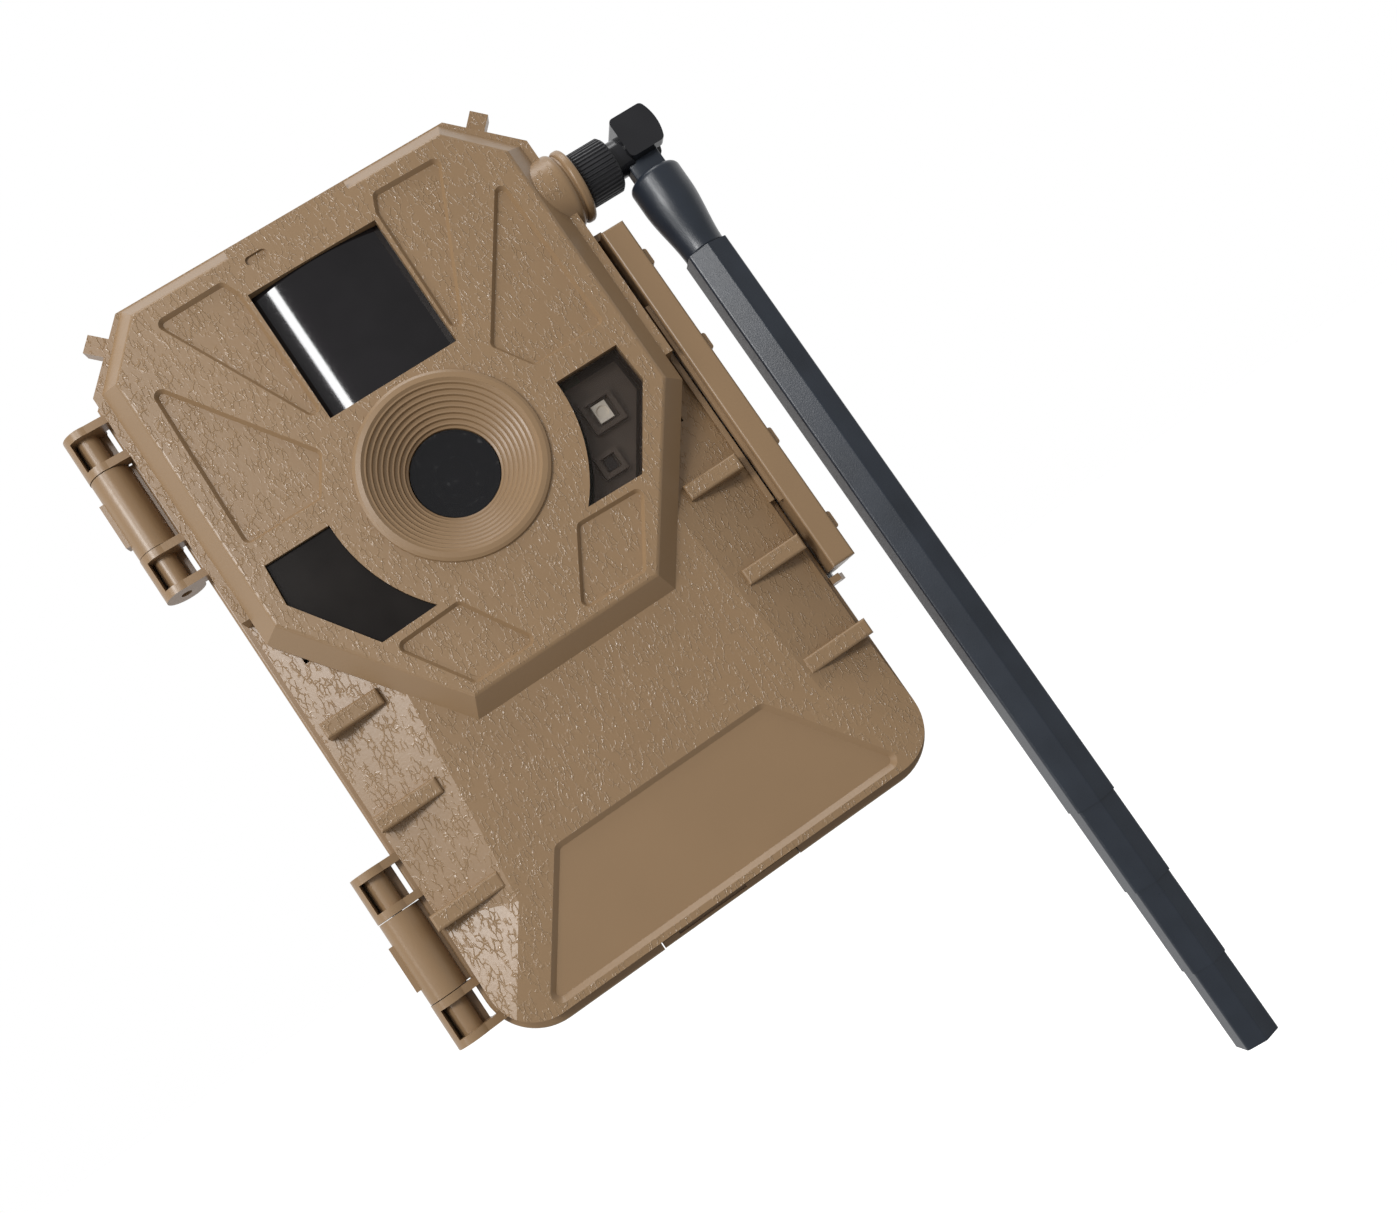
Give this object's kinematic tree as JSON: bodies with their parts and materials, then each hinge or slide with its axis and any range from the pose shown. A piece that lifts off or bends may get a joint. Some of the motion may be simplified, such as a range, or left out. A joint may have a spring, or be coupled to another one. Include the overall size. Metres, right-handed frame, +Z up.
{
  "type": "cellular trail camera",
  "caption": "Strap-on cellular trail camera with a hinged tan front door, side snap latch, infrared flash and motion windows, grooved lens hood and a folding swivel antenna.",
  "frame": {"origin": "middle of the tree-rest face on the back bracket, on the camera's mid-plane", "axes": "+Z up as the camera hangs on a tree, +X to the viewer's right when facing the lens, the lens looks along -Y and +Y points back to the tree"},
  "size_m": [0.1211, 0.0569, 0.218],
  "materials": {
    "tan_shell": "satin grained tan",
    "tan_smooth": "satin smooth tan",
    "black_plastic": "satin",
    "black_gloss": "gloss",
    "antenna_plastic": "satin charcoal",
    "ir_film": "deep gloss",
    "pir_film": "matte",
    "tinted_clear": "smoked clear",
    "optic_glass": "coated",
    "cover_glass": "smoked",
    "seal_rubber": "matte",
    "pcb": "solder mask",
    "pcb_dark": "dark solder mask",
    "steel": "brushed",
    "screw_steel": "dark zinc",
    "brass": "turned",
    "gold_plate": "gold plated",
    "cell_wrap": "printed-free sleeve",
    "led_lens": "water clear",
    "led_white": "white",
    "sensor_can": "plain tin",
    "display": "display grey",
    "display_window": "clear",
    "key_rubber": "matte grey",
    "card_plastic": "matte"
  },
  "bodies": {
    "rear_case": {"rear_shell": "tan_shell", "tree_bracket": "black_plastic", "shell_screws": "screw_steel", "hinge_pins": "steel", "tripod_insert": "brass", "battery_tray": "black_plastic", "aa_cells": "cell_wrap", "cell_springs": "steel", "cell_contacts": "steel", "link_pins": "gold_plate", "dc_jack": "black_plastic", "port_cover_pin": "steel", "latch_pin": "steel"},
    "port_flap": {"port_cover": "tan_smooth"},
    "latch": {"latch_bar": "tan_shell"},
    "coupling": {"antenna_nut": "black_plastic"},
    "elbow": {"antenna_elbow": "black_gloss", "pivot_pin": "steel"},
    "antenna": {"antenna_knuckle": "antenna_plastic", "antenna_blade": "antenna_plastic"},
    "key_menu": {"button_menu": "key_rubber"},
    "key_down": {"button_down": "key_rubber"},
    "key_up": {"button_up": "key_rubber"},
    "key_ok": {"button_ok": "key_rubber"},
    "power_switch": {"mode_switch": "key_rubber"},
    "card": {"sd_card": "card_plastic"},
    "door": {"antenna_boss": "tan_smooth", "front_housing": "tan_shell", "door_seal": "seal_rubber", "lens_ring": "tan_smooth", "lens_cover_glass": "cover_glass", "lens_barrel": "black_plastic", "lens_holder": "black_plastic", "lens_elements": "optic_glass", "ir_cut_filter": "optic_glass", "image_sensor": "black_gloss", "sensor_board": "pcb", "ir_window": "ir_film", "pir_window": "pir_film", "indicator_window": "tinted_clear", "ir_led_board": "pcb_dark", "ir_leds": "led_lens", "indicator_board": "pcb_dark", "indicator_led": "led_white", "light_sensor": "black_gloss", "pir_sensor": "sensor_can", "pir_board": "pcb", "main_board": "pcb", "board_screws": "screw_steel", "modem_module": "sensor_can", "sim_holder": "steel", "sd_socket": "steel", "lcd_module": "display", "lcd_window": "display_window", "tact_switches": "black_plastic", "inner_cover": "black_plastic", "cover_screws": "screw_steel", "link_pads": "gold_plate", "sma_jack": "gold_plate", "sma_lock_nut": "brass"}
  },
  "joints": [
    {"name": "door_hinge", "type": "hinge", "parent": "rear_case", "child": "door", "pos_m": [-0.05, -0.0455, 0], "axis": [0, 0, -1], "range_deg": [0, 115]},
    {"name": "latch_hinge", "type": "hinge", "parent": "rear_case", "child": "latch", "pos_m": [0.0484, -0.035, 0], "axis": [0, 0, 1], "range_deg": [0, 12]},
    {"name": "port_flap_hinge", "type": "hinge", "parent": "rear_case", "child": "port_flap", "pos_m": [-0.0013, -0.0164, -0.0716], "axis": [1, 0, 0], "range_deg": [0, 100]},
    {"name": "nut_spin", "type": "hinge", "parent": "door", "child": "coupling", "pos_m": [0.052, -0.0478, 0.0508], "axis": [1, 0, 0], "continuous": true},
    {"name": "antenna_swivel", "type": "hinge", "parent": "door", "child": "elbow", "pos_m": [0.057, -0.0478, 0.0508], "axis": [1, 0, 0], "continuous": true},
    {"name": "antenna_tilt", "type": "hinge", "parent": "elbow", "child": "antenna", "pos_m": [0.06125, -0.0478, 0.0508], "axis": [0, -1, 0], "range_deg": [0, 90]},
    {"name": "switch_slide", "type": "slide", "parent": "door", "child": "power_switch", "axis": [1, 0, 0], "range_m": [0, 0.0055]},
    {"name": "card_slide", "type": "slide", "parent": "door", "child": "card", "axis": [0, 0, -1], "range_m": [0, 0.018]},
    {"name": "key_menu_press", "type": "slide", "parent": "door", "child": "key_menu", "axis": [0, -1, 0], "range_m": [0, 0.0005], "stiffness_N_per_m": 600},
    {"name": "key_down_press", "type": "slide", "parent": "door", "child": "key_down", "axis": [0, -1, 0], "range_m": [0, 0.0005], "stiffness_N_per_m": 600},
    {"name": "key_up_press", "type": "slide", "parent": "door", "child": "key_up", "axis": [0, -1, 0], "range_m": [0, 0.0005], "stiffness_N_per_m": 600},
    {"name": "key_ok_press", "type": "slide", "parent": "door", "child": "key_ok", "axis": [0, -1, 0], "range_m": [0, 0.0005], "stiffness_N_per_m": 600}
  ]
}
